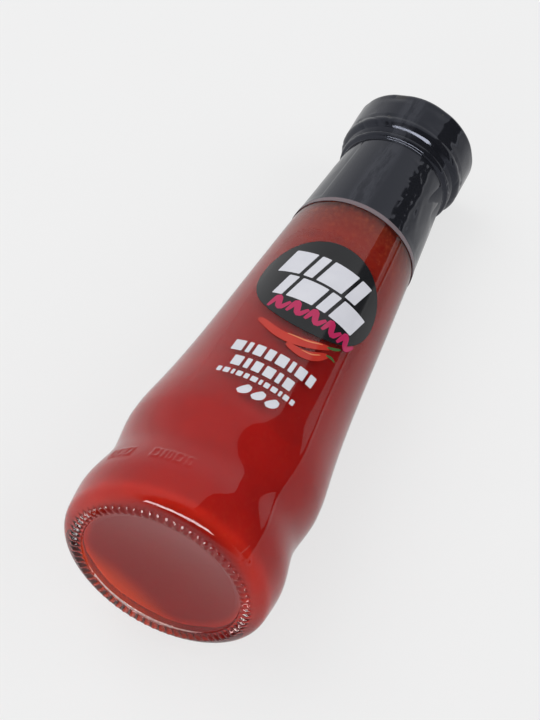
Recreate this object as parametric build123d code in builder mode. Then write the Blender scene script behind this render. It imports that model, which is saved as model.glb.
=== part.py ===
from build123d import *
from math import atan2, cos, degrees, radians, sin
import os

os.makedirs("parts", exist_ok=True)

# A small hot sauce bottle lying on its side with the label up.
# Heights run along the bottle from its bearing plane, radii from its centre line. All in millimetres.

# Glass outside
bearing_inner_radius = 21.6
bearing_outer_radius = 24.9
heel_corner_radius = 27.4
heel_corner_height = 2.2
heel_side_radius = 28.05
heel_side_height = 5.0
heel_radius = 28.4
heel_height = 10.5
waist_radius = 26.15
waist_height = 24.5
shoulder_radius = 27.2
shoulder_height = 36.0
taper_top_radius = 26.0
taper_top_height = 46.0
body_mid_radius = 21.15
body_mid_height = 89.0
neck_base_radius = 18.5
neck_base_height = 118.0
neck_radius = 15.3
neck_height = 150.5

# Glass at the mouth, under the cap
bead_radius = 16.5
bead_bottom = 151.8
bead_top = 154.8
finish_radius = 15.7
finish_top = 167.0
bore_radius = 12.9

# Glass thickness and the hollow underside
body_wall = 2.8
heel_wall = 3.2
floor_thickness = 4.2
punt_step_radius = 20.3
punt_step_rise = 1.3
punt_rise = 3.4
inner_floor_radius = 19.5

# Ribs around the bearing ring
rib_count = 70
rib_length = 2.9
rib_radius = 0.55
rib_height = 0.4

# Cap
cap_radius = 17.8
cap_bottom = 157.0
cap_wall = 0.9
cap_top_thickness = 1.3
cap_edge_radius = 1.6

# Shrink sleeve over the cap and the neck
film = 0.25
film_gap = 0.02
sleeve_hem_height = 119.5
sleeve_mouth_radius = 13.2

# Label, a rounded rectangle of thin film seen straight on
label_film = 0.15
label_width = 32.0
label_bottom = 35.8
label_top = 107.5
label_corner = 5.0
label_turn = 13.5

# How the bottle lies: on its shoulder and on the far edge of the cap, each worn to a small flat
flat_depth = 0.15

cap_top = finish_top + cap_top_thickness
sleeve_radius = cap_radius + film_gap + film
tilt = degrees(atan2(shoulder_radius - sleeve_radius, cap_top - cap_edge_radius - shoulder_height))
tilt_sin = sin(radians(tilt))
tilt_cos = cos(radians(tilt))

# The bottle's low end and high end along the floor, which put the origin under its middle
low_end = -rib_height * tilt_cos - (bearing_outer_radius - 0.15) * tilt_sin
high_end = (cap_top + film_gap + film) * tilt_cos + (sleeve_radius - cap_edge_radius) * tilt_sin
foot_y = -(low_end + high_end) / 2
foot_z = shoulder_height * tilt_sin + shoulder_radius * tilt_cos - flat_depth

foot = Vector(0, foot_y, foot_z)
along = Vector(0, tilt_cos, -tilt_sin)
profile_plane = Plane(origin=foot, x_dir=(1, 0, 0), z_dir=(0, tilt_sin, tilt_cos))
base_plane = Plane(origin=foot, x_dir=(1, 0, 0), z_dir=-along)
centre_line = Axis(foot, along)


def upper_body(gap):
    """The side of the glass from its waist to the foot of the neck, stood off by gap."""
    Spline(
        (waist_radius + gap, waist_height),
        (shoulder_radius + gap, shoulder_height),
        tangents=[(0, 1), (0, 1)],
        tangent_scalars=[1.2, 1.2],
    )
    Spline(
        (shoulder_radius + gap, shoulder_height),
        (taper_top_radius + gap, taper_top_height),
        (body_mid_radius + gap, body_mid_height),
        (neck_base_radius + gap, neck_base_height),
        tangents=[(0, 1), (neck_radius - neck_base_radius, neck_height - neck_base_height)],
    )


def outer_body(gap):
    """The outside of the glass from the heel's widest ring to the foot of the neck, stood off by gap."""
    Spline(
        (heel_radius + gap, heel_height),
        (waist_radius + gap, waist_height),
        tangents=[(0, 1), (0, 1)],
        tangent_scalars=[1.35, 1.2],
    )
    upper_body(gap)


def cavity():
    """The inside of the glass from the middle of its floor up to the mouth."""
    floor_height = punt_rise + floor_thickness
    side_radius = heel_radius - heel_wall
    corner_height = heel_height + 2.5
    floor_edge = (inner_floor_radius, floor_height - 1.2)
    neck_foot = (neck_base_radius - body_wall, neck_base_height)
    TangentArc((0, floor_height), floor_edge, tangent=(1, 0))
    Spline(floor_edge, (side_radius, corner_height), tangents=[(1, 0.05), (0, 1)])
    Spline(
        (side_radius, corner_height),
        (waist_radius - body_wall, waist_height),
        tangents=[(0, 1), (0, 1)],
    )
    upper_body(-body_wall)
    Line(neck_foot, (bore_radius, neck_height))
    Line((bore_radius, neck_height), (bore_radius, finish_top))


def sauce_room():
    """The whole room inside the glass, closed along the centre line."""
    cavity()
    Polyline((bore_radius, finish_top), (0, finish_top), (0, punt_rise + floor_thickness))


# The glass: a hollow underside, a waist, a shoulder, a long taper and a mouth
with BuildPart() as glass_bottle:
    with BuildSketch(profile_plane):
        with BuildLine():
            Polyline(
                (0, punt_rise),
                (0, finish_top),
                (finish_radius, finish_top),
                (finish_radius, bead_top + 0.5),
                (bead_radius, bead_top),
                (bead_radius, bead_bottom),
                (neck_radius, neck_height),
                (neck_base_radius, neck_base_height),
            )
            outer_body(0)
            Spline(
                (heel_radius, heel_height),
                (heel_side_radius, heel_side_height),
                (heel_corner_radius, heel_corner_height),
                (bearing_outer_radius, 0),
                tangents=[(0, -1), (-1, -0.25)],
            )
            Line((bearing_outer_radius, 0), (bearing_inner_radius, 0))
            ThreePointArc(
                (bearing_inner_radius, 0),
                (bearing_inner_radius - 0.5, punt_step_rise * 0.62),
                (punt_step_radius, punt_step_rise),
            )
            TangentArc((0, punt_rise), (punt_step_radius, punt_step_rise), tangent=(1, 0))
        make_face()
    revolve(axis=centre_line)
    # Ribs that the bottle stands on when it is upright
    with Locations(base_plane.offset(rib_height - rib_radius)):
        with PolarLocations((bearing_inner_radius + bearing_outer_radius) / 2, rib_count):
            Cylinder(rib_radius, rib_length, rotation=(0, 90, 0))
    with BuildSketch(profile_plane):
        with BuildLine():
            sauce_room()
        make_face()
    revolve(axis=centre_line, mode=Mode.SUBTRACT)
    split(bisect_by=Plane.XY, keep=Keep.TOP)

# The sauce fills the glass up to the cap
with BuildPart() as hot_sauce:
    with BuildSketch(profile_plane):
        with BuildLine():
            sauce_room()
        make_face()
    revolve(axis=centre_line)

# The cap: a flat top on the mouth, a rounded edge and a plain skirt
with BuildPart() as cap:
    with BuildSketch(profile_plane):
        with BuildLine():
            Polyline(
                (0, finish_top),
                (cap_radius - cap_wall, finish_top),
                (cap_radius - cap_wall, cap_bottom),
                (cap_radius, cap_bottom),
                (cap_radius, cap_top - cap_edge_radius),
            )
            RadiusArc(
                (cap_radius, cap_top - cap_edge_radius),
                (cap_radius - cap_edge_radius, cap_top),
                -cap_edge_radius,
            )
            Polyline((cap_radius - cap_edge_radius, cap_top), (0, cap_top), (0, finish_top))
        make_face()
    revolve(axis=centre_line)


def sleeve_face(gap):
    """One face of the sleeve, from its hem on the neck to its open end on top of the cap."""
    hem_share = (sleeve_hem_height - neck_base_height) / (neck_height - neck_base_height)
    hem_radius = neck_base_radius + (neck_radius - neck_base_radius) * hem_share
    Polyline(
        (hem_radius + gap, sleeve_hem_height),
        (neck_radius + gap, neck_height),
        (bead_radius + gap, bead_bottom),
        (bead_radius + gap, bead_top),
        (cap_radius + gap, cap_bottom),
        (cap_radius + gap, cap_top - cap_edge_radius),
    )
    RadiusArc(
        (cap_radius + gap, cap_top - cap_edge_radius),
        (cap_radius - cap_edge_radius, cap_top + gap),
        -cap_edge_radius - gap,
    )
    Line((cap_radius - cap_edge_radius, cap_top + gap), (sleeve_mouth_radius, cap_top + gap))
    return hem_radius


# The shrink sleeve: one film that grips the neck and the bead and folds over the cap's edge
with BuildPart() as shrink_sleeve:
    with BuildSketch(profile_plane):
        with BuildLine():
            hem = sleeve_face(film_gap)
            sleeve_face(film_gap + film)
            Line((hem + film_gap, sleeve_hem_height), (hem + film_gap + film, sleeve_hem_height))
            Line(
                (sleeve_mouth_radius, cap_top + film_gap),
                (sleeve_mouth_radius, cap_top + film_gap + film),
            )
        make_face()
    revolve(axis=centre_line)
    split(bisect_by=Plane.XY, keep=Keep.TOP)

# The label: a rounded rectangle of film wrapped on the front of the taper
label_middle = (label_bottom + label_top) / 2
label_out = Vector(
    sin(radians(label_turn)),
    cos(radians(label_turn)) * tilt_sin,
    cos(radians(label_turn)) * tilt_cos,
)
label_plane = Plane(origin=foot + along * label_middle, x_dir=along, z_dir=label_out)

with BuildPart() as front_label:
    with BuildSketch(profile_plane):
        with BuildLine():
            outer_body(film_gap)
            outer_body(film_gap + label_film)
            Line((heel_radius + film_gap, heel_height), (heel_radius + film_gap + label_film, heel_height))
            Line(
                (neck_base_radius + film_gap, neck_base_height),
                (neck_base_radius + film_gap + label_film, neck_base_height),
            )
        make_face()
    revolve(axis=centre_line)
    with BuildSketch(label_plane):
        RectangleRounded(label_top - label_bottom, label_width, label_corner)
    extrude(amount=heel_radius * 2, mode=Mode.INTERSECT)

glass_bottle.part.label = "glass_bottle"
hot_sauce.part.label = "hot_sauce"
cap.part.label = "cap"
shrink_sleeve.part.label = "shrink_sleeve"
front_label.part.label = "front_label"

for piece in (glass_bottle, hot_sauce, cap, shrink_sleeve, front_label):
    export_step(piece.part, "parts/" + piece.part.label + ".step")
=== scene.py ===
import math
import random

import bmesh
import bpy
import numpy as np
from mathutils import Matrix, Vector
from mathutils.geometry import delaunay_2d_cdt


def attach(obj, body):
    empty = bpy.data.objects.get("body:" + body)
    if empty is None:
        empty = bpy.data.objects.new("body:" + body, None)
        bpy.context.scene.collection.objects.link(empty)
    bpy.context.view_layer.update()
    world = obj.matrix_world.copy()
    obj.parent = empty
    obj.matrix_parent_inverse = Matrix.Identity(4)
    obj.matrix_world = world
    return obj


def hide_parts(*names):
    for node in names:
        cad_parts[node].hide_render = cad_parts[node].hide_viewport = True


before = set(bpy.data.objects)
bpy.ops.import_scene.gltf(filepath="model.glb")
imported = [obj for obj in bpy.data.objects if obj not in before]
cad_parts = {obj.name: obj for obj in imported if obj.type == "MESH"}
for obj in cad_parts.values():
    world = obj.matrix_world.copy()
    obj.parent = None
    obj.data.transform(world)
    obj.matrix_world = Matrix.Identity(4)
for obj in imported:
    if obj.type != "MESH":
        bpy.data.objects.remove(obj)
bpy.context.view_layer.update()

random.seed(18)

# ---------------------------------------------------------------- sizes of the bottle, in millimetres
# Heights run along the bottle from the ring it stands on. Angles run round it from straight up,
# towards +X.
MM = 0.001
FOOT = np.array((0, -83.592, 29.493))
TILT = math.radians(3.996)
ALONG = np.array((0, math.cos(TILT), -math.sin(TILT)))
UP = np.array((0, math.sin(TILT), math.cos(TILT)))
SIDE = np.array((1.0, 0, 0))
SHRINK = 0.03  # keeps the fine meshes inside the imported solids, whose facets cut their corners

HEEL = (28.4, 10.5)
WAIST = (26.15, 24.5)
SHOULDER = (27.2, 36.0)
TAPER = (26.0, 46.0)
MIDDLE = (21.15, 89.0)
NECK_FOOT = (18.5, 118.0)
NECK_TOP = (15.3, 150.5)
BEAD = 16.5
BEAD_BOTTOM = 151.8
BEAD_TOP = 154.8
FINISH = 15.7
MOUTH = 167.0
BORE = 12.9
WALL = 2.8
HEEL_WALL = 3.2
PUNT_STEP = (20.3, 1.3)
PUNT_RISE = 3.4
INNER_FLOOR = 7.6
RIBS = 70
RIB_HEIGHT = 0.4
CAP = 17.8
CAP_BOTTOM = 157.0
CAP_TOP = 168.3
CAP_EDGE = 1.6
FILM = 0.25
HEM = 119.5
SLEEVE_MOUTH = 13.2
LABEL_TURN = 13.5
LABEL_HALF = 16.0
LABEL_BOTTOM = 35.8
LABEL_TOP = 107.5
LABEL_CORNER = 5.0


def spot(radius, height, turn):
    """A point in metres from a radius and a height in millimetres and a turn in degrees."""
    a = np.radians(turn)
    out = np.multiply.outer(np.sin(a) * radius, SIDE) + np.multiply.outer(np.cos(a) * radius, UP)
    point = FOOT + np.multiply.outer(height, ALONG) + out
    point[..., 2] = np.maximum(point[..., 2], 0.02)
    return point * MM


def curve(points, start, end, count):
    """A smooth line through points (radius, height), leaving along start and arriving along end."""
    p = np.array(points, float)
    chord = np.hypot(*np.diff(p, axis=0).T)
    n = len(p)
    a = np.eye(n)
    b = np.zeros((n, 2))
    b[0] = np.array(start) / np.hypot(*start)
    b[-1] = np.array(end) / np.hypot(*end)
    for i in range(1, n - 1):
        h, k = chord[i - 1], chord[i]
        a[i, i - 1:i + 2] = (k, 2 * (h + k), h)
        b[i] = 3 * (k * (p[i] - p[i - 1]) / h + h * (p[i + 1] - p[i]) / k)
    slope = np.linalg.solve(a, b)
    reach = np.concatenate(([0], np.cumsum(chord)))
    line = []
    for x in np.linspace(0, reach[-1], count):
        i = min(int(np.searchsorted(reach, x, side="right")) - 1, n - 2)
        h = chord[i]
        t = (x - reach[i]) / h
        line.append(
            (2 * t**3 - 3 * t**2 + 1) * p[i] + (t**3 - 2 * t**2 + t) * h * slope[i]
            + (3 * t**2 - 2 * t**3) * p[i + 1] + (t**3 - t**2) * h * slope[i + 1]
        )
    return [tuple(q) for q in line]


def run(a, b, count):
    """A straight line of points from a to b."""
    return [tuple(q) for q in np.linspace(a, b, count)]


def body_line(low_rows, waist_rows, taper_rows):
    """The outside of the glass from the heel's widest ring up to the foot of the neck."""
    low = curve([HEEL, WAIST], (0, 1), (0, 1), low_rows)
    waist = curve([WAIST, SHOULDER], (0, 1), (0, 1), waist_rows)
    lean = (NECK_TOP[0] - NECK_FOOT[0], NECK_TOP[1] - NECK_FOOT[1])
    taper = curve([SHOULDER, TAPER, MIDDLE, NECK_FOOT], (0, 1), lean, taper_rows)
    return low + waist[1:] + taper[1:]


BODY = np.array(body_line(60, 40, 80) + run(NECK_FOOT, NECK_TOP, 20)[1:])


def body_radius(height):
    return np.interp(height, BODY[:, 1], BODY[:, 0])


def inner_line(gap=0.0):
    """The inside of the glass from the middle of its floor up to the mouth, moved out by gap. The
    glass and the sauce share its rows, so that no gap opens between them."""
    floor = [(r, INNER_FLOOR - 2.4 * (r / 21.8)**2 - gap) for r in np.linspace(0, 21.8, 6)]
    side = (HEEL[0] - HEEL_WALL + gap, HEEL[1] + 2.5)
    waist, shoulder, taper, middle, neck_foot = [
        (r - WALL + gap, s) for r, s in (WAIST, SHOULDER, TAPER, MIDDLE, NECK_FOOT)]
    lean = (NECK_TOP[0] - NECK_FOOT[0], NECK_TOP[1] - NECK_FOOT[1])
    corner = curve([floor[-1], side], (1, 0.05), (0, 1), 9)
    low = curve([side, waist], (0, 1), (0, 1), 6)
    swell = curve([waist, shoulder], (0, 1), (0, 1), 6)
    upper = curve([shoulder, taper, middle, neck_foot], (0, 1), lean, 9)
    return (floor + corner[1:] + low[1:] + swell[1:] + upper[1:]
            + [(BORE + gap, NECK_TOP[1]), (BORE + gap, MOUTH)])


# ---------------------------------------------------------------- mesh tools
def piece_from(name, points, faces, material):
    mesh = bpy.data.meshes.new(name)
    mesh.from_pydata([tuple(p) for p in points], [], faces)
    tidy = bmesh.new()
    tidy.from_mesh(mesh)
    bmesh.ops.recalc_face_normals(tidy, faces=tidy.faces)
    tidy.to_mesh(mesh)
    tidy.free()
    mesh.shade_smooth()
    mesh.materials.append(material)
    piece = bpy.data.objects.new(name, mesh)
    bpy.context.scene.collection.objects.link(piece)
    return piece


def turned(name, line, segments, material, relief=None):
    """A piece turned round the bottle's centre line. relief moves radius and height by the turn."""
    line = np.array(line, float)
    turn = np.arange(segments) * 360 / segments
    radius = np.repeat(line[:, :1], segments, 1)
    height = np.repeat(line[:, 1:], segments, 1)
    if relief:
        radius, height = relief(radius, height, np.repeat(turn[None, :], len(line), 0))
    grid = spot(radius, height, np.repeat(turn[None, :], len(line), 0))
    points = []
    rows = []
    for i in range(len(line)):
        if line[i, 0] < 1e-6:
            rows.append([len(points)] * segments)
            points.append(grid[i].mean(0))
        else:
            rows.append(list(range(len(points), len(points) + segments)))
            points.extend(grid[i])
    faces = []
    for a, b in zip(rows[:-1], rows[1:]):
        for j in range(segments):
            k = (j + 1) % segments
            corners = [a[j], a[k], b[k], b[j]]
            face = [c for n, c in enumerate(corners) if c != corners[n - 1]]
            if len(face) > 2:
                faces.append(face)
    if line[0, 0] > 1e-6 and line[-1, 0] > 1e-6:
        for j in range(segments):
            k = (j + 1) % segments
            faces.append([rows[-1][j], rows[-1][k], rows[0][k], rows[0][j]])
    return piece_from(name, points, faces, material)


def fade(x, a, b):
    """0 below a, 1 above b, smooth between."""
    t = np.clip((x - a) / (b - a), 0, 1)
    return t * t * (3 - 2 * t)


def swing(turn, middle):
    """How far a turn is from middle, in degrees, the short way round."""
    return (turn - middle + 180) % 360 - 180


# ---------------------------------------------------------------- material tools
def colour(text):
    """An sRGB hex colour as the linear colour that the shaders take."""
    parts = [int(text[i:i + 2], 16) / 255 for i in (0, 2, 4)]
    return [c / 12.92 if c <= 0.04045 else ((c + 0.055) / 1.055)**2.4 for c in parts] + [1]


def new_material(name):
    material = bpy.data.materials.new(name)
    material.use_nodes = True
    material.node_tree.nodes.clear()
    return material, material.node_tree


def add(tree, kind, settings, inputs):
    """Adds one node. An input takes a value, another node, or one output of another node."""
    made = tree.nodes.new(kind)
    for key, value in settings.items():
        if key == "stops":
            for n, (at, tone) in enumerate(value):
                stop = made.color_ramp.elements[n] if n < 2 else made.color_ramp.elements.new(at)
                stop.position = at
                stop.color = tone
        else:
            setattr(made, key, value)
    for key, value in inputs.items():
        if isinstance(value, bpy.types.Node):
            tree.links.new(value.outputs[0], made.inputs[key])
        elif isinstance(value, bpy.types.NodeSocket):
            tree.links.new(value, made.inputs[key])
        else:
            made.inputs[key].default_value = value
    return made


def bottle_space(tree):
    """Place on the bottle in millimetres: across, along and up, along from the standing ring."""
    place = add(tree, "ShaderNodeTexCoord", {}, {}).outputs["Object"]
    moved = add(tree, "ShaderNodeVectorMath", {"operation": "SUBTRACT"}, {0: place, 1: FOOT * MM})
    level = add(tree, "ShaderNodeVectorRotate", {"rotation_type": "X_AXIS"},
                {"Vector": moved, "Angle": TILT})
    return add(tree, "ShaderNodeVectorMath", {"operation": "SCALE"}, {0: level, "Scale": 1000})


def blotches(tree, space, size, detail=2.0, roughness=0.5, stretch=(1, 1, 1)):
    """Cloudy grey, 0 to 1, whose patches are about size millimetres across."""
    sized = add(tree, "ShaderNodeVectorMath", {"operation": "MULTIPLY"},
                {0: space, 1: [s / size for s in stretch]})
    return add(tree, "ShaderNodeTexNoise", {},
               {"Vector": sized, "Scale": 1.0, "Detail": detail, "Roughness": roughness})


# ---------------------------------------------------------------- materials
def pressed_flint_glass():
    """Flint glass, blown in a mould: clear and colourless, with a faint waviness that makes its
    reflections run a little unevenly."""
    material, tree = new_material("flint_glass_blown")
    space = bottle_space(tree)
    uneven = blotches(tree, space, 14, stretch=(1, 0.4, 1))
    ripple = add(tree, "ShaderNodeBump", {}, {"Height": uneven, "Strength": 1.0, "Distance": 0.1 * MM})
    # The flanks of the ribs throw the light aside, so they are toned dark, most along the low side
    place = add(tree, "ShaderNodeSeparateXYZ", {}, {0: space})
    turn = add(tree, "ShaderNodeMath", {"operation": "ARCTAN2"}, {0: place.outputs["X"], 1: place.outputs["Z"]})
    ribs = add(tree, "ShaderNodeMath", {"operation": "MULTIPLY"}, {0: turn, 1: float(RIBS)})
    wave = add(tree, "ShaderNodeMath", {"operation": "SINE"}, {0: ribs})
    flank = add(tree, "ShaderNodeMapRange", {"interpolation_type": "SMOOTHSTEP"},
                {"Value": wave, "From Min": 0.1, "From Max": 0.7})
    flat = add(tree, "ShaderNodeVectorMath", {"operation": "MULTIPLY"}, {0: space, 1: (1, 0, 1)})
    radius = add(tree, "ShaderNodeVectorMath", {"operation": "LENGTH"}, {0: flat}).outputs["Value"]
    inner_end = add(tree, "ShaderNodeMapRange", {}, {"Value": radius, "From Min": 21.4, "From Max": 22.0})
    outer_end = add(tree, "ShaderNodeMapRange", {}, {"Value": radius, "From Min": 25.6, "From Max": 24.9})
    low = add(tree, "ShaderNodeMapRange", {}, {"Value": place.outputs["Y"], "From Min": 1.2, "From Max": 0.5})
    ends = add(tree, "ShaderNodeMath", {"operation": "MULTIPLY"}, {0: inner_end, 1: outer_end})
    ring = add(tree, "ShaderNodeMath", {"operation": "MULTIPLY"}, {0: ends, 1: low})
    low_side = add(tree, "ShaderNodeVectorMath", {"operation": "DOT_PRODUCT"}, {0: space, 1: (-0.6, 0, -0.8)})
    deep = add(tree, "ShaderNodeMapRange", {}, {
        "Value": low_side.outputs["Value"], "From Min": -16.0, "From Max": 10.0, "To Min": 0.3, "To Max": 1.0})
    share = add(tree, "ShaderNodeMath", {"operation": "MULTIPLY"}, {0: ring, 1: deep})
    dark = add(tree, "ShaderNodeMath", {"operation": "MULTIPLY"}, {0: flank, 1: share})
    body = add(tree, "ShaderNodeMix", {"data_type": "RGBA"}, {0: dark, 6: colour("F6F9F7"), 7: colour("2C282A")})
    glass = add(tree, "ShaderNodeBsdfPrincipled", {}, {
        "Base Color": body.outputs[2], "Roughness": 0.02, "IOR": 1.5,
        "Transmission Weight": 1.0, "Normal": ripple})
    # Light passes straight through to the sauce
    clear = add(tree, "ShaderNodeBsdfTransparent", {}, {"Color": colour("F2F5F3")})
    path = add(tree, "ShaderNodeLightPath", {}, {})
    shader = add(tree, "ShaderNodeMixShader", {}, {0: path.outputs["Is Shadow Ray"], 1: glass, 2: clear})
    add(tree, "ShaderNodeOutputMaterial", {}, {"Surface": shader})
    return material


def cooked_chilli_sauce():
    """Chilli sauce, cooked and strained: a deep red paste, browner and full of pale and dark flecks
    of pepper towards the neck. Painted light makes it glow orange where it is thin over the low
    edge of the floor and brighter low in the heel, and painted shade darkens its floor."""
    material, tree = new_material("chilli_sauce_cooked")
    space = bottle_space(tree)
    height = add(tree, "ShaderNodeSeparateXYZ", {}, {0: space}).outputs["Y"]
    level = add(tree, "ShaderNodeMapRange", {}, {"Value": height, "From Max": 170.0})
    # Colour by height: browner towards the neck, and the brighter red of the lowest stop is painted light in the
    # heel
    ground = add(tree, "ShaderNodeValToRGB", {"stops": [
        (0.03, colour("BC2517")), (0.044, colour("A81D16")), (0.08, colour("A81A17")),
        (0.3, colour("A81A17")), (0.52, colour("9E1917")), (0.62, colour("9A2417")),
        (0.7, colour("7C2A1B"))]}, {"Fac": level})
    cloud = blotches(tree, space, 9, 3, 0.55)
    dim = add(tree, "ShaderNodeMix", {"data_type": "RGBA"},
              {0: cloud, 6: colour("E2E2E2"), 7: colour("FFFFFF")})
    toned = add(tree, "ShaderNodeMix", {"data_type": "RGBA", "blend_type": "MULTIPLY"},
                {0: 1.0, 6: ground, 7: dim.outputs[2]})
    fine = add(tree, "ShaderNodeValToRGB", {"stops": [(0.5, [0, 0, 0, 1]), (0.72, [1, 1, 1, 1])]},
               {"Fac": blotches(tree, space, 1.1, 2, 0.6, (1, 0.8, 1))})
    many = add(tree, "ShaderNodeMapRange", {}, {
        "Value": height, "From Min": 98.0, "From Max": 118.0, "To Min": 0.04, "To Max": 0.3})
    pale = add(tree, "ShaderNodeMath", {"operation": "MULTIPLY"}, {0: fine, 1: many})
    flecked = add(tree, "ShaderNodeMix", {"data_type": "RGBA"},
                  {0: pale, 6: toned.outputs[2], 7: colour("C05A34")})
    specks = add(tree, "ShaderNodeValToRGB", {"stops": [(0.56, [0, 0, 0, 1]), (0.72, [0.6, 0.6, 0.6, 1])]},
                 {"Fac": blotches(tree, space, 2.3, 2, 0.6, (1, 0.7, 1))})
    dark = add(tree, "ShaderNodeMapRange", {}, {
        "Value": height, "From Min": 60.0, "From Max": 110.0, "To Min": 0.12, "To Max": 1.0})
    sown = add(tree, "ShaderNodeMath", {"operation": "MULTIPLY"}, {0: specks, 1: dark})
    speckled = add(tree, "ShaderNodeMix", {"data_type": "RGBA"},
                   {0: sown, 6: flecked.outputs[2], 7: colour("7C1410")})
    # Painted shade darkens the floor, and a painted orange glow, standing in for light coming up through the
    # thin sauce, lies along its low side
    near = add(tree, "ShaderNodeMapRange", {"interpolation_type": "SMOOTHSTEP"},
               {"Value": height, "From Min": 12.0, "From Max": 7.0})
    flat = add(tree, "ShaderNodeVectorMath", {"operation": "MULTIPLY"}, {0: space, 1: (1, 0, 1)})
    radius = add(tree, "ShaderNodeVectorMath", {"operation": "LENGTH"}, {0: flat}).outputs["Value"]
    inside = add(tree, "ShaderNodeMapRange", {"interpolation_type": "SMOOTHSTEP"},
                 {"Value": radius, "From Min": 23.0, "From Max": 20.0})
    floor_shade_mask = add(tree, "ShaderNodeMath", {"operation": "MULTIPLY"}, {0: near, 1: inside})
    floor_painted_shade = add(tree, "ShaderNodeMix", {"data_type": "RGBA"},
                     {0: floor_shade_mask, 6: speckled.outputs[2], 7: colour("8A1512")})
    # Painted orange glow, for light coming up through the thin sauce on its low side
    low = add(tree, "ShaderNodeVectorMath", {"operation": "DOT_PRODUCT"}, {0: space, 1: (-0.6, 0, -0.8)})
    glow_side = add(tree, "ShaderNodeMapRange", {"interpolation_type": "SMOOTHSTEP"},
               {"Value": low.outputs["Value"], "From Min": 14.5, "From Max": 25.0})
    thin = add(tree, "ShaderNodeMapRange", {"interpolation_type": "SMOOTHSTEP"},
               {"Value": height, "From Min": 17.0, "From Max": 10.5})
    painted_glow = add(tree, "ShaderNodeMath", {"operation": "MULTIPLY"}, {0: glow_side, 1: thin})
    whole = add(tree, "ShaderNodeMix", {"data_type": "RGBA"},
                {0: painted_glow, 6: floor_painted_shade.outputs[2], 7: colour("E4461A")})
    sauce = add(tree, "ShaderNodeBsdfPrincipled", {}, {
        "Base Color": whole.outputs[2], "Roughness": 0.6, "Specular IOR Level": 0.0})
    add(tree, "ShaderNodeOutputMaterial", {}, {"Surface": sauce})
    return material


def shrunk_black_film():
    """PVC film, printed black inside and shrunk on with heat: a cool black gloss pulled into soft
    streaks, with a painted sheen in a grainy strip along its top, where the film is also rougher,
    and a clear hem that shows the glass."""
    material, tree = new_material("pvc_film_black_shrunk")
    space = bottle_space(tree)
    where = add(tree, "ShaderNodeSeparateXYZ", {}, {0: space})
    tone = add(tree, "ShaderNodeMix", {"data_type": "RGBA"}, {
        0: blotches(tree, space, 14, stretch=(1, 0.3, 1)), 6: colour("15161A"), 7: colour("1D1E23")})
    off_middle = add(tree, "ShaderNodeMath", {"operation": "ABSOLUTE"}, {0: where.outputs["X"]})
    # A painted sheen, lighter than the black, lies in a grainy strip along the top, where the film is also
    # rougher
    top_strip = add(tree, "ShaderNodeMapRange", {"interpolation_type": "SMOOTHSTEP"},
                    {"Value": off_middle, "From Min": 4.0, "From Max": 1.4, "To Min": 0.0, "To Max": 0.9})
    grain = add(tree, "ShaderNodeValToRGB", {"stops": [(0.4, [0, 0, 0, 1]), (0.54, [1, 1, 1, 1])]},
                {"Fac": blotches(tree, space, 3.0, 4, 0.7, (1, 0.18, 1))})
    top_sheen = add(tree, "ShaderNodeMath", {"operation": "MULTIPLY"}, {0: grain, 1: top_strip})
    sheen_tone = add(tree, "ShaderNodeMix", {"data_type": "RGBA"},
                  {0: top_sheen, 6: tone.outputs[2], 7: colour("303136")})
    dull = add(tree, "ShaderNodeMapRange", {}, {"Value": top_sheen, "To Min": 0.09, "To Max": 0.26})
    pulled = add(tree, "ShaderNodeBump", {}, {
        "Height": blotches(tree, space, 5, 3, 0.6, (1, 0.22, 1)), "Strength": 1.0, "Distance": 0.04 * MM})
    black = add(tree, "ShaderNodeBsdfPrincipled", {}, {
        "Base Color": sheen_tone.outputs[2], "Roughness": dull, "IOR": 1.53,
        "Specular Tint": colour("E4EAFF"), "Normal": pulled})
    gloss = add(tree, "ShaderNodeBsdfPrincipled", {}, {
        "Base Color": colour("998B90"), "Roughness": 0.12, "IOR": 1.53, "Normal": pulled})
    clear = add(tree, "ShaderNodeBsdfTransparent", {}, {"Color": colour("C9BEC2")})
    hem = add(tree, "ShaderNodeMixShader", {}, {0: 0.55, 1: clear, 2: gloss})
    edge = add(tree, "ShaderNodeMapRange", {},
               {"Value": where.outputs["Y"], "From Min": 121.6, "From Max": 121.9})
    shader = add(tree, "ShaderNodeMixShader", {}, {0: edge, 1: hem, 2: black})
    add(tree, "ShaderNodeOutputMaterial", {}, {"Surface": shader})
    return material


def lacquered_cap():
    """Tinplate, pressed and lacquered black: a soft gloss with a fine orange peel."""
    material, tree = new_material("tinplate_lacquered_black")
    space = bottle_space(tree)
    tone = add(tree, "ShaderNodeMix", {"data_type": "RGBA"},
               {0: blotches(tree, space, 8), 6: colour("17171A"), 7: colour("222226")})
    peel = add(tree, "ShaderNodeBump", {},
               {"Height": blotches(tree, space, 1.1), "Strength": 1.0, "Distance": 0.01 * MM})
    lacquer = add(tree, "ShaderNodeBsdfPrincipled", {}, {
        "Base Color": tone.outputs[2], "Roughness": 0.3, "IOR": 1.5, "Coat Weight": 0.4,
        "Coat Roughness": 0.12, "Normal": peel})
    add(tree, "ShaderNodeOutputMaterial", {}, {"Surface": lacquer})
    return material


def clear_label_film():
    """Polypropylene film, cast: almost invisible, only its edge and a thin gloss of its own show."""
    material, tree = new_material("polypropylene_film_clear")
    lay = add(tree, "ShaderNodeBump", {}, {
        "Height": blotches(tree, bottle_space(tree), 20), "Strength": 1.0, "Distance": 0.04 * MM})
    clear = add(tree, "ShaderNodeBsdfTransparent", {}, {"Color": colour("FDFCFC")})
    gloss = add(tree, "ShaderNodeBsdfGlossy", {},
                {"Color": colour("FFFFFF"), "Roughness": 0.1, "Normal": lay})
    shader = add(tree, "ShaderNodeMixShader", {}, {0: 0.006, 1: clear, 2: gloss})
    add(tree, "ShaderNodeOutputMaterial", {}, {"Surface": shader})
    return material


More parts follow.
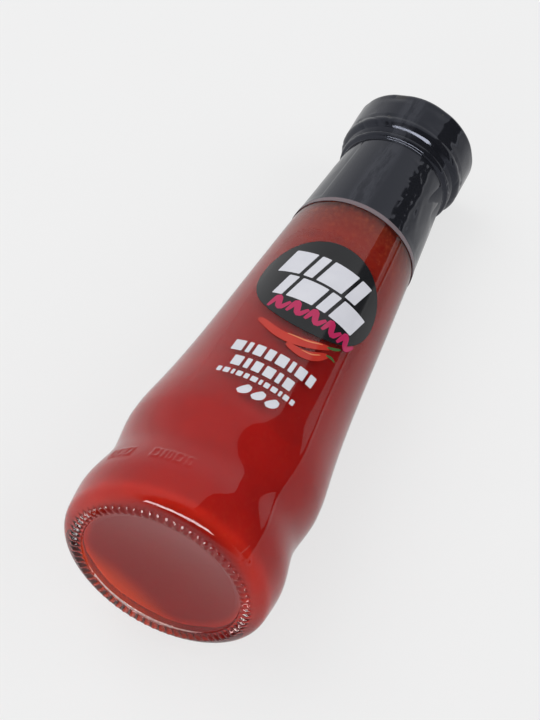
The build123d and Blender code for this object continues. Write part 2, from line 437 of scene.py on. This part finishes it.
def screen_ink(name, tone, shade):
    """Ink, screen printed on the film: an even opaque colour with a fine grain in its gloss."""
    material, tree = new_material("ink_printed_" + name)
    space = bottle_space(tree)
    body = add(tree, "ShaderNodeMix", {"data_type": "RGBA"},
               {0: blotches(tree, space, 7), 6: colour(tone), 7: colour(shade)})
    grain = add(tree, "ShaderNodeBump", {},
                {"Height": blotches(tree, space, 0.6), "Strength": 1.0, "Distance": 0.004 * MM})
    ink = add(tree, "ShaderNodeBsdfPrincipled", {},
              {"Base Color": body.outputs[2], "Roughness": 0.12, "IOR": 1.5, "Normal": grain})
    add(tree, "ShaderNodeOutputMaterial", {}, {"Surface": ink})
    return material


def matt_paper():
    """Paper sweep, uncoated: an even pale grey with nothing on it. In mirrors it carries a painted
    shade, deepest towards the right."""
    material, tree = new_material("paper_sweep_uncoated")
    place = add(tree, "ShaderNodeTexCoord", {}, {}).outputs["Object"]
    tooth = add(tree, "ShaderNodeTexNoise", {}, {"Vector": place, "Scale": 40.0, "Detail": 3.0})
    tone = add(tree, "ShaderNodeMix", {"data_type": "RGBA"},
               {0: tooth, 6: colour("EDEDED"), 7: colour("F1F1F1")})
    paper = add(tree, "ShaderNodeBsdfPrincipled", {}, {
        "Base Color": tone.outputs[2], "Roughness": 0.9, "Specular IOR Level": 0.1})
    path = add(tree, "ShaderNodeLightPath", {}, {})
    through = add(tree, "ShaderNodeMath", {"operation": "MULTIPLY"},
                  {0: path.outputs["Is Transmission Ray"], 1: -0.5})
    seen = add(tree, "ShaderNodeMath", {"operation": "MAXIMUM"},
               {0: path.outputs["Is Camera Ray"], 1: path.outputs["Is Glossy Ray"]})
    share = add(tree, "ShaderNodeMath", {"operation": "MULTIPLY_ADD"}, {0: seen, 1: 0.8, 2: through})
    right = add(tree, "ShaderNodeSeparateXYZ", {}, {0: place}).outputs["X"]
    across = add(tree, "ShaderNodeMapRange", {}, {"Value": right, "From Min": -0.1, "From Max": 0.1})
    # Painted shade, seen only in mirrors, growing darker towards the right
    mirrored_shade = add(tree, "ShaderNodeValToRGB", {"stops": [
        (0.05, colour("E6E6E6")), (0.35, colour("CDCDCD")), (0.65, colour("CDCDCD")),
        (1.0, colour("A8A8A8"))]}, {"Fac": across})
    tones = add(tree, "ShaderNodeMix", {"data_type": "RGBA"},
                {0: path.outputs["Is Camera Ray"], 6: mirrored_shade, 7: colour("EFEFEF")})
    sheet = add(tree, "ShaderNodeEmission", {}, {"Color": tones.outputs[2], "Strength": 1.0})
    shader = add(tree, "ShaderNodeMixShader", {}, {0: share, 1: paper, 2: sheet})
    add(tree, "ShaderNodeOutputMaterial", {}, {"Surface": shader})
    return material


def black_card_stock():
    """Card, dyed black: flat and dark, a little lighter in patches."""
    material, tree = new_material("card_dyed_black")
    place = add(tree, "ShaderNodeTexCoord", {}, {}).outputs["Object"]
    cloudy = add(tree, "ShaderNodeTexNoise", {}, {"Vector": place, "Scale": 5.0, "Detail": 2.0})
    tone = add(tree, "ShaderNodeMix", {"data_type": "RGBA"},
               {0: cloudy, 6: colour("161618"), 7: colour("4A4A4C")})
    card = add(tree, "ShaderNodeBsdfPrincipled", {}, {
        "Base Color": tone.outputs[2], "Roughness": 0.9, "Specular IOR Level": 0.1})
    add(tree, "ShaderNodeOutputMaterial", {}, {"Surface": card})
    return material


GLASS = pressed_flint_glass()
SAUCE = cooked_chilli_sauce()
SLEEVE = shrunk_black_film()
LACQUER = lacquered_cap()
CLEAR = clear_label_film()
BLACK_INK = screen_ink("black", "17181A", "1F2022")
WHITE_INK = screen_ink("white", "D8D8DE", "C9CAD2")
PINK_INK = screen_ink("magenta", "B8295C", "A8244F")
RED_INK = screen_ink("red", "C03A2C", "A82A22")
PALE_INK = screen_ink("orange", "D98A5C", "CC6C4C")
GREEN_INK = screen_ink("green", "4E6B3A", "3C5A34")


# ---------------------------------------------------------------- glass
def glass_relief(radius, height, turn):
    """A faint ring round the hollow underside, ribs on the standing ring, the two mould seams, and a
    row of raised frames above the heel."""
    outside = radius > np.where(height < 8, 0, body_radius(height) - 0.8)
    height = height + 0.04 * np.exp(-((radius - 19.95) / 0.28)**2) * (height < 3)
    outer_end = np.clip((24.72 - radius) / 0.62, 0, 1)
    ring = fade(radius, 21.8, 23.0) * outer_end * (height < 3)
    wave = np.cos(np.radians((turn + 0.35 * (radius - 23)) * RIBS))
    height = height - RIB_HEIGHT * 0.97 * ring * fade(wave, -0.2, 0.6)
    height = height + 0.35 * ring * fade(-wave, 0.0, 0.8)
    for seam in (52.5, -127.5):
        across = np.radians(swing(turn, seam)) * radius
        ridge = np.exp(-(across / 0.36)**2) * 0.12
        radius = radius + ridge * outside * (height > 1.5)
    marks = np.zeros_like(radius)
    for middle, wide in ((-45, 0.9), (-39.5, 0.9), (-34, 0.9), (-17, 0.9), (-12.5, 0.2), (-9, 0.5), (-4, 0.9), (2, 0.6)):
        across = np.abs(np.radians(swing(turn, middle)) * radius)
        edge = np.maximum(across - wide, np.abs(height - 15.5) - 1.4)
        marks = np.maximum(marks, np.exp(-(edge / 0.33)**2))
    radius = radius + marks * outside * 0.3
    return radius, height


def glass_line():
    """The whole section of the glass, from the middle of its underside round to its inner floor."""
    punt_rows = list(np.linspace(0, 19.2, 6)) + [19.5, 19.7, 19.9, 20.1, 20.3, 20.8, 21.3]
    punt = [(r, PUNT_RISE - 2.6 * (r / 21.3)**2) for r in punt_rows]
    step = curve([(21.3, 0.8), (21.52, 0.62), (21.68, 0.2), (21.75, 0)], (1, -0.3), (0.3, -1), 7)
    ring = [(21.75, 0)] + run((21.88, 0), (24.05, 0), 8) + run((24.05, 0), (24.9, 0.3), 9)[1:]
    heel = curve([(24.9, 0.3), (27.4, 2.2), (28.05, 5.0), HEEL], (1, 0.32), (0, 1), 18)
    finish = [(BEAD - 0.3, 151.3), (BEAD - 0.3, 152.5), (FINISH, 153.2), (FINISH, MOUTH)]
    inside = inner_line()[::-1]
    whole = punt + step[1:] + ring[1:] + heel[1:] + body_line(36, 12, 21)[1:] + [NECK_TOP] + finish + inside
    return [(max(r - SHRINK, 0) if r > 0 else 0, s) for r, s in whole]


glass = turned("glass_body", glass_line(), 630, GLASS, glass_relief)
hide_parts("glass_bottle")
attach(glass, "root")

# ---------------------------------------------------------------- sauce
sauce_line = inner_line(0.05)
sauce_line[-1] = (BORE + 0.05, MOUTH - 0.1)
sauce = turned("sauce_fill", sauce_line + [(0, MOUTH - 0.1)], 240, SAUCE)
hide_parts("hot_sauce")
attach(sauce, "root")

# ---------------------------------------------------------------- cap
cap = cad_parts["cap"]
cap.data.materials.clear()
cap.data.materials.append(LACQUER)


# ---------------------------------------------------------------- shrink sleeve
def creases(radius, height, turn, seed, count, turns, heights, lean, length, wide, deep):
    """Short soft folds in film, scattered over a patch. lean is their slope in degrees and its
    spread, and the other pairs are ranges."""
    draw = random.Random(seed)
    total = np.zeros_like(radius)
    for _ in range(count):
        across = np.radians(swing(turn, draw.uniform(*turns))) * radius
        rise = height - draw.uniform(*heights)
        slope = math.radians(draw.gauss(*lean))
        reach = draw.uniform(*length)
        off = across * math.cos(slope) + rise * math.sin(slope)
        on = rise * math.cos(slope) - across * math.sin(slope)
        total += draw.uniform(0.4, 1) * np.exp(-(off / draw.uniform(*wide))**2 - (on / reach)**2)
    return total * deep


def sleeve_relief(radius, height, turn):
    """The film's overlap, its long fold with creases beside it, tucks under the cap, and a
    slightly uneven rim."""
    neck = fade(height, 121.5, 124) * (1 - fade(height, 149, 151))
    overlap = fade(swing(turn, -36), -0.6, 0.6) * (1 - fade(swing(turn, 36), -20, 20))
    outer = radius > np.where(height < 150.5, body_radius(height) + 0.1, BEAD + 0.1)
    wander = 47 + 1.0 * np.sin(height * 0.33) + 0.5 * np.sin(height * 1.1)
    crest = np.exp(-(np.radians(swing(turn, wander)) * radius / 0.45)**2)
    grid = (radius, height, turn)
    move = -0.12 * (1 - overlap) * neck + 0.15 * crest * neck
    move = move + neck * creases(*grid, 3, 40, (33, 44), (122, 151), (-25, 35), (0.8, 2.6), (0.4, 0.8), 0.07)
    move = move + neck * creases(*grid, 4, 14, (50, 75), (124, 150), (-12, 15), (3, 7), (0.7, 1.2), 0.08)
    move = move + neck * creases(*grid, 9, 10, (-75, -40), (135, 151), (15, 20), (2, 5), (0.6, 1.1), 0.07)
    tuck = fade(height, 132, 146) * (1 - fade(height, 151, 153))
    move = move - tuck * creases(*grid, 5, 7, (68, 100), (140, 150), (-14, 8), (4, 8), (0.8, 1.5), 0.55)
    under = fade(height, 150.5, 151.5) * (1 - fade(height, 157.5, 159)) * fade(np.abs(swing(turn, 8)), 14, 24)
    move = move - under * creases(*grid, 6, 90, (-180, 180), (151, 158), (55, 20), (0.8, 2.4), (0.3, 0.6), 0.16)
    side = fade(height, 158.0, 159.5) * (1 - fade(height, 166.4, 167.4))
    move = move - side * creases(*grid, 7, 26, (18, 60), (158, 167), (75, 25), (2, 5), (0.8, 1.4), 0.045)
    move = move - side * creases(*grid, 8, 30, (-180, 180), (158, 167), (0, 25), (4, 9), (1.2, 2.4), 0.05)
    rim = fade(height, 163.5, 166.0) * (radius > 14.5)
    move = move - rim * creases(*grid, 10, 24, (-180, 180), (165, 169), (0, 10), (2, 4), (1.2, 2.6), 0.16)
    return radius + move * outer, height


def sleeve_line():
    gap = 0.02 + FILM - SHRINK
    rims = [(body_radius(s) + gap, s) for s in np.linspace(HEM + 0.7, 150.2, 84)]
    groove = curve(
        [(NECK_TOP[0] + gap, 150.5), (16.25, 151.0), (16.74, 152.0), (16.4, 153.0), (16.02, 153.7),
         (16.45, 154.5), (17.2, 155.1), (17.95, 156.1), (18.04, 157.0), (17.9, 157.9)],
        (0.4, 1), (0.0, 1), 70)
    skirt = run((CAP + gap, 158.8), (CAP + gap, CAP_TOP - CAP_EDGE), 24)
    edge = []
    for a in np.linspace(0, 90, 12)[1:]:
        c, s = math.cos(math.radians(a)), math.sin(math.radians(a))
        edge.append((CAP - CAP_EDGE + (CAP_EDGE + gap) * c, CAP_TOP - CAP_EDGE + (CAP_EDGE + gap) * s))
    lid = run((CAP - CAP_EDGE - 0.3, CAP_TOP + gap), (SLEEVE_MOUTH + 0.3, CAP_TOP + gap), 8)
    back = [(SLEEVE_MOUTH + 0.3, CAP_TOP + 0.03), (CAP - CAP_EDGE, CAP_TOP + 0.03),
            (CAP + 0.03, CAP_TOP - CAP_EDGE), (CAP + 0.03, CAP_BOTTOM), (BEAD + 0.04, BEAD_TOP),
            (BEAD + 0.04, BEAD_BOTTOM), (NECK_TOP[0] + 0.04, NECK_TOP[1]),
            (body_radius(HEM) + 0.04, HEM + 0.7)]
    return rims + groove + skirt + edge + lid + back


sleeve = turned("film_sleeve", sleeve_line(), 420, SLEEVE, sleeve_relief)
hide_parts("shrink_sleeve")
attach(sleeve, "root")


# ---------------------------------------------------------------- label
def printed(name, outlines, lift, thickness, material, flat_on=False):
    """A flat shape laid on the taper. Outlines are lists of (across, height) in millimetres,
    across being measured round the bottle from the label's middle line."""
    points = []
    faces = []
    for outline in outlines:
        ring = []
        for here, after in zip(outline, outline[1:] + outline[:1]):
            parts = max(1, math.ceil(math.dist(here, after) / 0.8))
            ring.extend(Vector(here).lerp(Vector(after), k / parts) for k in range(parts))
        low = Vector((min(p.x for p in ring), min(p.y for p in ring)))
        high = Vector((max(p.x for p in ring), max(p.y for p in ring)))
        inner = []
        pitch = 1.2
        for i in range(1, int((high.x - low.x) / pitch) + 1):
            for j in range(1, int((high.y - low.y) / pitch) + 1):
                inner.append(Vector((low.x + i * pitch, low.y + j * pitch + 0.37 * (i % 2))))
        found = delaunay_2d_cdt(ring + inner, [], [list(range(len(ring)))], 1, 1e-4)
        start = len(points)
        points.extend(found[0])
        faces.extend([[start + c for c in f] for f in found[2]])
    across = np.array([p.x for p in points])
    height = np.array([p.y for p in points])
    radius = body_radius(height)
    turn = LABEL_TURN + np.degrees(np.arcsin(across / radius) if flat_on else across / radius)
    piece = piece_from(name, spot(radius + lift, height, turn), faces, material)
    sheet = bmesh.new()
    sheet.from_mesh(piece.data)
    for face in sheet.faces:
        middle = np.array(face.calc_center_median()) / MM - FOOT
        if np.dot(middle - ALONG * np.dot(middle, ALONG), np.array(face.normal)) < 0:
            face.normal_flip()
    sheet.to_mesh(piece.data)
    sheet.free()
    solid = piece.modifiers.new("thickness", "SOLIDIFY")
    solid.thickness = thickness * MM
    solid.offset = 1
    shown = piece.evaluated_get(bpy.context.evaluated_depsgraph_get())
    thick = bpy.data.meshes.new_from_object(shown)
    piece.modifiers.clear()
    piece.data = thick
    thick.set_sharp_from_angle(angle=math.radians(35))
    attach(piece, "root")
    return piece


def rounded(x0, y0, x1, y1, corner, lean=0.0, steps=5):
    """A rounded rectangle, leaning by a share of its height."""
    ring = []
    for cx, cy, start in ((x1 - corner, y1 - corner, 0), (x0 + corner, y1 - corner, 90),
                          (x0 + corner, y0 + corner, 180), (x1 - corner, y0 + corner, 270)):
        for k in range(steps + 1):
            a = math.radians(start + 90 * k / steps)
            x = cx + corner * math.cos(a)
            y = cy + corner * math.sin(a)
            ring.append((x + lean * (y - y0), y))
    return ring


def oval(cx, cy, wide, high, steps=96):
    return [(cx + wide * math.cos(a), cy + high * math.sin(a))
            for a in np.linspace(0, 2 * math.pi, steps, endpoint=False)]


def stroke(line, width, steps=18):
    """A brush stroke along a smooth line, thin at both ends."""
    path = np.array(curve(line, np.subtract(line[1], line[0]), np.subtract(line[-1], line[-2]), steps))
    lean = np.gradient(path, axis=0)
    normal = np.stack((-lean[:, 1], lean[:, 0]), 1) / np.hypot(*lean.T)[:, None]
    share = np.linspace(0, 1, steps)
    half = width / 2 * (0.25 + 0.75 * np.sin(np.pi * np.clip(share * 0.94 + 0.03, 0, 1))**0.6)
    left = path + normal * half[:, None]
    right = path - normal * half[:, None]
    return [tuple(p) for p in left] + [tuple(p) for p in right[::-1]]


film_outline = rounded(-LABEL_HALF, LABEL_BOTTOM + 0.2, LABEL_HALF, LABEL_TOP - 0.3, LABEL_CORNER, steps=8)
film = printed("label_film", [film_outline], 0.03, 0.04, CLEAR, flat_on=True)
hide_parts("front_label")

printed("print_field", [oval(0, 87.2, 18.2, 16.8)], 0.08, 0.015, BLACK_INK)

blocks = []
for low, high, start, widths in ((88.4, 97.4, -13.6, (6.2, 2.6, 7.6, 3.6)),
                                 (79.4, 87.4, -11.4, (2.8, 7.4, 2.8, 8.0))):
    x = start
    for wide in widths:
        blocks.append(rounded(x, low, x + wide, high, 0.3, 0.24))
        x += wide + 1.1
printed("print_blocks", blocks, 0.1, 0.01, WHITE_INK)

strokes = [stroke([(-10.4 + 5.2 * n, 74.2), (-8.6 + 5.2 * n, 78.4), (-7.4 + 5.2 * n, 74.6),
                   (-5.2 + 5.2 * n, 77.6)], 1.7) for n in range(5)]
printed("print_strokes", strokes, 0.1, 0.01, PINK_INK)

pods = [stroke([(9.5, 70.6), (4.0, 67.2), (-3.0, 65.6), (-10.5, 68.8)], 3.0, 26),
        stroke([(10.2, 68.2), (7.2, 64.9), (3.4, 63.2), (-0.6, 63.6)], 2.8, 20)]
printed("print_pods", pods, 0.1, 0.01, RED_INK)
glints = [stroke([(7.6, 70.1), (3.8, 68.0), (-1.6, 66.9)], 0.45),
          stroke([(8.4, 66.7), (6.2, 64.9), (3.6, 64.2)], 0.4)]
printed("print_glints", glints, 0.115, 0.008, PALE_INK)
stems = [stroke([(9.0, 70.4), (11.0, 71.7), (12.6, 73.2)], 0.9),
         stroke([(9.8, 68.0), (11.4, 68.6), (12.8, 68.4)], 0.8)]
printed("print_stems", stems, 0.115, 0.008, GREEN_INK)

# Rows of small blocks keep the place of three lines of print
lines = []
for middle, tall, start, gap, widths in (
        (57.4, 4.0, -12.8, 0.9, (3.0, 1.2, 2.4, 2.0, 2.8, 1.2, 2.6, 2.0)),
        (51.7, 3.8, -10.6, 0.9, (2.6, 1.3, 2.2, 2.6, 1.3, 2.4)),
        (47.3, 1.9, -13.0, 0.6, (1.2, 1.6, 0.8, 1.5, 1.2, 1.7, 0.8, 1.4, 1.6, 0.8, 1.5, 1.2))):
    x = start
    for wide in widths:
        lines.append(rounded(x, middle - tall / 2, x + wide, middle + tall / 2, 0.25, 0.05))
        x += wide + gap
printed("print_lines", lines, 0.08, 0.012, WHITE_INK)

drops = [stroke([(-2.6 + 3.9 * n, 44.6), (-3.3 + 3.9 * n, 42.9), (-5.0 + 3.9 * n, 41.3)], 2.5) for n in range(3)]
printed("print_drops", drops, 0.08, 0.012, WHITE_INK)

# ---------------------------------------------------------------- floor
sweep = bpy.data.meshes.new("floor")
sweep.from_pydata([(-6, -6, 0), (6, -6, 0), (6, 6, 0), (-6, 6, 0)], [], [[0, 1, 2, 3]])
sweep.materials.append(matt_paper())
floor = bpy.data.objects.new("floor", sweep)
bpy.context.scene.collection.objects.link(floor)

# ---------------------------------------------------------------- light
# A white tent stands round the bottle. In mirrors its opening, where the viewer looks in, is dark.
world = bpy.data.worlds.new("light_tent")
bpy.context.scene.world = world
world.use_nodes = True
tent = world.node_tree
tent.nodes.clear()
look = add(tent, "ShaderNodeTexCoord", {}, {}).outputs["Generated"]
rise = add(tent, "ShaderNodeSeparateXYZ", {}, {0: look}).outputs["Z"]
high = add(tent, "ShaderNodeMapRange", {"interpolation_type": "SMOOTHSTEP"}, {"Value": rise, "From Max": 0.8})
cloth = add(tent, "ShaderNodeMix", {"data_type": "RGBA"}, {0: high, 6: colour("DEDEDF"), 7: colour("BEBFC0")})
facing = add(tent, "ShaderNodeVectorMath", {"operation": "DOT_PRODUCT"}, {0: look, 1: (0.25, -0.55, 0.8)})
opening = add(tent, "ShaderNodeMapRange", {"interpolation_type": "SMOOTHSTEP"},
              {"Value": facing.outputs["Value"], "From Min": 0.5, "From Max": 0.78})
path = add(tent, "ShaderNodeLightPath", {}, {})
dark = add(tent, "ShaderNodeMath", {"operation": "MULTIPLY"}, {0: opening, 1: path.outputs["Is Glossy Ray"]})
lit = add(tent, "ShaderNodeMix", {"data_type": "RGBA"}, {0: dark, 6: cloth.outputs[2], 7: colour("26262A")})
seen = add(tent, "ShaderNodeMix", {"data_type": "RGBA"},
           {0: path.outputs["Is Camera Ray"], 6: lit.outputs[2], 7: colour("EFEFEF")})
glow = add(tent, "ShaderNodeBackground", {}, {"Color": seen.outputs[2], "Strength": 1.0})
add(tent, "ShaderNodeOutputWorld", {}, {"Surface": glow})

target = Vector((-3.744, -9.429, 24.969)) * MM


def lamp(name, direction, distance, wide, tall, power):
    light = bpy.data.lights.new(name, "AREA")
    light.shape = "RECTANGLE"
    light.size = wide
    light.size_y = tall
    light.energy = power
    holder = bpy.data.objects.new(name, light)
    bpy.context.scene.collection.objects.link(holder)
    way = Vector(direction).normalized()
    holder.location = target + way * distance
    holder.rotation_euler = (-way).to_track_quat("-Z", "Y").to_euler()
    return holder


key = lamp("key_softbox", (-0.5, 0.2, 0.84), 1.1, 0.8, 0.8, 5.2)
key.visible_glossy = False
fill = lamp("fill_softbox", (0.75, 0.15, 0.6), 1.0, 0.6, 0.6, 2.4)
fill.visible_glossy = False
low_fill = lamp("front_fill", (-0.1, -0.9, 0.35), 0.9, 0.6, 0.4, 1.0)
low_fill.visible_glossy = False
# The strip only draws glints on the heel, the ribs and the folds under the cap
strip = lamp("front_strip", (0.0, -0.84, 0.54), 0.9, 0.88, 0.2, 6.6)
strip.visible_diffuse = False

# A black card stands upright beside the bottle, so that the glass has something dark to mirror
card_turn = math.radians(35)
card_out = Vector((math.cos(card_turn), math.sin(card_turn), 0)) * 300
card_way = Vector((-math.sin(card_turn), math.cos(card_turn), 0))
# Its outline: along the card, and height
card_outline = [(-420, 62), (60, 45), (215, 45), (200, 104), (172, 132), (126, 176),
                (108, 200), (96, 300), (90, 520), (86, 900), (-420, 900)]
card_mesh = bpy.data.meshes.new("black_card")
card_mesh.from_pydata([(card_out + card_way * u + Vector((0, 0, z))) * MM for u, z in card_outline],
                      [], [list(range(len(card_outline)))])
card_mesh.materials.append(black_card_stock())
card = bpy.data.objects.new("black_card", card_mesh)
bpy.context.scene.collection.objects.link(card)
card.visible_camera = False
card.visible_diffuse = False
card.visible_transmission = False
card.visible_shadow = False

# ---------------------------------------------------------------- camera
lens = bpy.data.cameras.new("camera")
lens.lens = 115.58
lens.sensor_width = 36
viewer = bpy.data.objects.new("camera", lens)
bpy.context.scene.collection.objects.link(viewer)
viewer.location = Vector((146.42, -341.96, 515.33)) * MM
viewer.rotation_euler = Vector((-0.24569, 0.54406, -0.80227)).to_track_quat("-Z", "Y").to_euler()
bpy.context.scene.camera = viewer
bpy.context.scene.view_settings.view_transform = "Standard"
